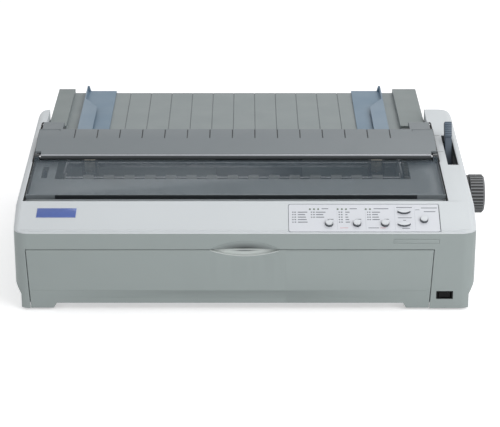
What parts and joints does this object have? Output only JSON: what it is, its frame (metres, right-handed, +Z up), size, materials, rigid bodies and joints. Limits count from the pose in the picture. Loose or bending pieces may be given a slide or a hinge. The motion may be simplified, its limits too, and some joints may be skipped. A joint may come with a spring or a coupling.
{
  "type": "dot matrix printer",
  "caption": "Wide-carriage dot matrix printer with a smoked window flap, paper cover, front flap, sheet tray with edge guides, platen knob, control panel and push tractor.",
  "frame": {"origin": "middle of the whole machine's footprint, on the table", "axes": "+X to the operator's right, +Y towards the back, +Z up"},
  "size_m": [0.639, 0.4779, 0.1874],
  "materials": {
    "upper_shell": "fine satin moulded plastic",
    "lower_shell": "fine textured moulded plastic",
    "cover_grey": "fine textured moulded plastic",
    "window": "smoked clear plastic",
    "tray_grey": "fine textured moulded plastic",
    "guide_blue": "satin moulded plastic",
    "lever_blue": "satin moulded plastic",
    "button_grey": "satin moulded plastic",
    "panel_film": "smooth polyester film",
    "lamp": "clear tinted plastic",
    "badge": "plain lacquered plate",
    "knob_grey": "ribbed moulded plastic",
    "black_plastic": "black moulded plastic",
    "white_plastic": "natural acetal",
    "black_rubber": "ground rubber",
    "sheet_steel": "zinc plated sheet",
    "bright_steel": "ground and polished bar",
    "motor_steel": "painted can",
    "brass": "turned brass",
    "board": "green lacquered laminate"
  },
  "bodies": {
    "case": {"lower_case": "lower_shell", "upper_case": "upper_shell", "base_pan": "sheet_steel", "rubber_feet": "black_rubber", "base_screws": "bright_steel", "panel_plate": "panel_film", "panel_lamps": "lamp", "badge_plate": "badge", "side_frame_left": "sheet_steel", "side_frame_right": "sheet_steel", "cross_rail": "sheet_steel", "guide_shaft": "bright_steel", "platen_bushes": "white_plastic", "paper_pan": "black_plastic", "carriage_motor": "motor_steel", "feed_motor": "motor_steel", "timing_belt": "black_plastic", "main_board": "board", "power_supply": "sheet_steel", "power_inlet": "black_plastic", "rear_ports": "sheet_steel", "switch_body": "black_plastic", "tractor_rail": "bright_steel", "panel_board": "board", "hinge_pins": "bright_steel"},
    "front_cover": {"front_cover": "lower_shell"},
    "top_cover": {"top_cover": "cover_grey", "flap_pins": "bright_steel"},
    "window_flap": {"window_flap": "window"},
    "sheet_tray": {"sheet_tray": "tray_grey"},
    "edge_guide_left": {"edge_guide_left": "guide_blue"},
    "edge_guide_right": {"edge_guide_right": "guide_blue"},
    "release_lever": {"release_lever": "lever_blue"},
    "thickness_lever": {"thickness_lever": "lever_blue"},
    "platen": {"platen_shaft": "bright_steel", "platen_roller": "black_rubber", "platen_knob": "knob_grey", "platen_gear": "white_plastic"},
    "reduction_gear": {"reduction_gear": "white_plastic"},
    "feed_pinion": {"feed_pinion": "brass"},
    "idler_gear": {"idler_gear": "white_plastic"},
    "tractor_shaft": {"tractor_shaft": "bright_steel"},
    "tractor_left": {"tractor_left": "sheet_steel"},
    "tractor_right": {"tractor_right": "sheet_steel"},
    "sprocket_left": {"sprocket_left": "white_plastic"},
    "sprocket_right": {"sprocket_right": "white_plastic"},
    "carriage": {"carriage": "black_plastic", "print_head": "black_plastic", "ribbon_cartridge": "black_plastic"},
    "drive_pulley": {"drive_pulley": "brass"},
    "idler_pulley": {"idler_pulley": "white_plastic"},
    "paper_bail": {"paper_bail": "bright_steel"},
    "power_rocker": {"power_rocker": "black_plastic"},
    "button_eject": {"button_eject": "button_grey"},
    "button_pause": {"button_pause": "button_grey"},
    "button_font": {"button_font": "button_grey"},
    "button_load": {"button_load": "button_grey"},
    "button_feed_up": {"button_feed_up": "button_grey"},
    "button_feed_down": {"button_feed_down": "button_grey"}
  },
  "joints": [
    {"name": "front_cover_hinge", "type": "hinge", "parent": "case", "child": "front_cover", "pos_m": [-0.0145, -0.23195, 0.016], "axis": [1, 0, 0], "range_deg": [0, 80]},
    {"name": "top_cover_hinge", "type": "hinge", "parent": "case", "child": "top_cover", "pos_m": [-0.0145, 0.06185, 0.16234], "axis": [-1, 0, 0], "range_deg": [0, 75]},
    {"name": "window_flap_hinge", "type": "hinge", "parent": "top_cover", "child": "window_flap", "pos_m": [-0.0145, -0.06095, 0.15547], "axis": [-1, 0, 0], "range_deg": [0, 80]},
    {"name": "sheet_tray_hinge", "type": "hinge", "parent": "case", "child": "sheet_tray", "pos_m": [-0.0145, 0.07705, 0.145], "axis": [1, 0, 0], "range_deg": [0, 52]},
    {"name": "edge_guide_left_slide", "type": "slide", "parent": "sheet_tray", "child": "edge_guide_left", "axis": [1, 0, 0], "range_m": [0, 0.15]},
    {"name": "edge_guide_right_slide", "type": "slide", "parent": "sheet_tray", "child": "edge_guide_right", "axis": [-1, 0, 0], "range_m": [0, 0.15]},
    {"name": "release_lever_hinge", "type": "hinge", "parent": "case", "child": "release_lever", "pos_m": [0.274, -0.02695, 0.118], "axis": [1, 0, 0], "range_deg": [0, 58]},
    {"name": "thickness_lever_hinge", "type": "hinge", "parent": "case", "child": "thickness_lever", "pos_m": [-0.2915, -0.08295, 0.105], "axis": [1, 0, 0], "range_deg": [-12, 12]},
    {"name": "platen_spin", "type": "hinge", "parent": "case", "child": "platen", "pos_m": [-0.0145, -0.06095, 0.101], "axis": [1, 0, 0], "continuous": true},
    {"name": "reduction_gear_spin", "type": "hinge", "parent": "case", "child": "reduction_gear", "pos_m": [-0.0145, -0.06644, 0.06988], "axis": [1, 0, 0], "continuous": true},
    {"name": "feed_pinion_spin", "type": "hinge", "parent": "case", "child": "feed_pinion", "pos_m": [-0.0145, -0.03644, 0.05589], "axis": [1, 0, 0], "continuous": true},
    {"name": "idler_gear_spin", "type": "hinge", "parent": "case", "child": "idler_gear", "pos_m": [-0.0145, -0.0139, 0.111], "axis": [1, 0, 0], "continuous": true},
    {"name": "tractor_shaft_spin", "type": "hinge", "parent": "case", "child": "tractor_shaft", "pos_m": [-0.0145, 0.0266, 0.11383], "axis": [1, 0, 0], "continuous": true},
    {"name": "tractor_left_slide", "type": "slide", "parent": "case", "child": "tractor_left", "axis": [1, 0, 0], "range_m": [-0.008, 0.15]},
    {"name": "tractor_right_slide", "type": "slide", "parent": "case", "child": "tractor_right", "axis": [1, 0, 0], "range_m": [-0.15, 0.008]},
    {"name": "sprocket_left_spin", "type": "hinge", "parent": "tractor_left", "child": "sprocket_left", "pos_m": [-0.0145, 0.0266, 0.11383], "axis": [1, 0, 0], "continuous": true},
    {"name": "sprocket_right_spin", "type": "hinge", "parent": "tractor_right", "child": "sprocket_right", "pos_m": [-0.0145, 0.0266, 0.11383], "axis": [1, 0, 0], "continuous": true},
    {"name": "carriage_slide", "type": "slide", "parent": "case", "child": "carriage", "axis": [1, 0, 0], "range_m": [-0.319, 0.027]},
    {"name": "drive_pulley_spin", "type": "hinge", "parent": "case", "child": "drive_pulley", "pos_m": [-0.2455, -0.13695, 0.071], "axis": [0, 0, 1], "range_deg": [-180, 2100]},
    {"name": "idler_pulley_spin", "type": "hinge", "parent": "case", "child": "idler_pulley", "pos_m": [0.1825, -0.13695, 0.071], "axis": [0, 0, 1], "range_deg": [-180, 2100]},
    {"name": "paper_bail_hinge", "type": "hinge", "parent": "case", "child": "paper_bail", "pos_m": [-0.0145, -0.03695, 0.118], "axis": [-1, 0, 0], "range_deg": [0, 30]},
    {"name": "power_rocker_hinge", "type": "hinge", "parent": "case", "child": "power_rocker", "pos_m": [0.25, -0.23195, 0.022], "axis": [0, 0, 1], "range_deg": [-7, 7]},
    {"name": "button_eject_press", "type": "slide", "parent": "case", "child": "button_eject", "axis": [0, 0.4961, -0.8682], "range_m": [0, 0.0012], "stiffness_N_per_m": 400, "springref_m": -0.001},
    {"name": "button_pause_press", "type": "slide", "parent": "case", "child": "button_pause", "axis": [0, 0.4961, -0.8682], "range_m": [0, 0.0012], "stiffness_N_per_m": 400, "springref_m": -0.001},
    {"name": "button_font_press", "type": "slide", "parent": "case", "child": "button_font", "axis": [0, 0.4961, -0.8682], "range_m": [0, 0.0012], "stiffness_N_per_m": 400, "springref_m": -0.001},
    {"name": "button_load_press", "type": "slide", "parent": "case", "child": "button_load", "axis": [0, 0.4961, -0.8682], "range_m": [0, 0.0012], "stiffness_N_per_m": 400, "springref_m": -0.001},
    {"name": "button_feed_up_press", "type": "slide", "parent": "case", "child": "button_feed_up", "axis": [0, 0.4961, -0.8682], "range_m": [0, 0.0012], "stiffness_N_per_m": 400, "springref_m": -0.001},
    {"name": "button_feed_down_press", "type": "slide", "parent": "case", "child": "button_feed_down", "axis": [0, 0.4961, -0.8682], "range_m": [0, 0.0012], "stiffness_N_per_m": 400, "springref_m": -0.001}
  ],
  "couplings": [
    {"joint": "reduction_gear_spin", "follows": "platen_spin", "ratio": -2.5},
    {"joint": "feed_pinion_spin", "follows": "platen_spin", "ratio": 6.6667},
    {"joint": "idler_gear_spin", "follows": "platen_spin", "ratio": -0.88235},
    {"joint": "tractor_shaft_spin", "follows": "platen_spin", "ratio": 1.5},
    {"joint": "sprocket_left_spin", "follows": "platen_spin", "ratio": 1.5},
    {"joint": "sprocket_right_spin", "follows": "platen_spin", "ratio": 1.5},
    {"joint": "drive_pulley_spin", "follows": "carriage_slide", "rad_per_m": -114.29},
    {"joint": "idler_pulley_spin", "follows": "carriage_slide", "rad_per_m": -114.29}
  ]
}
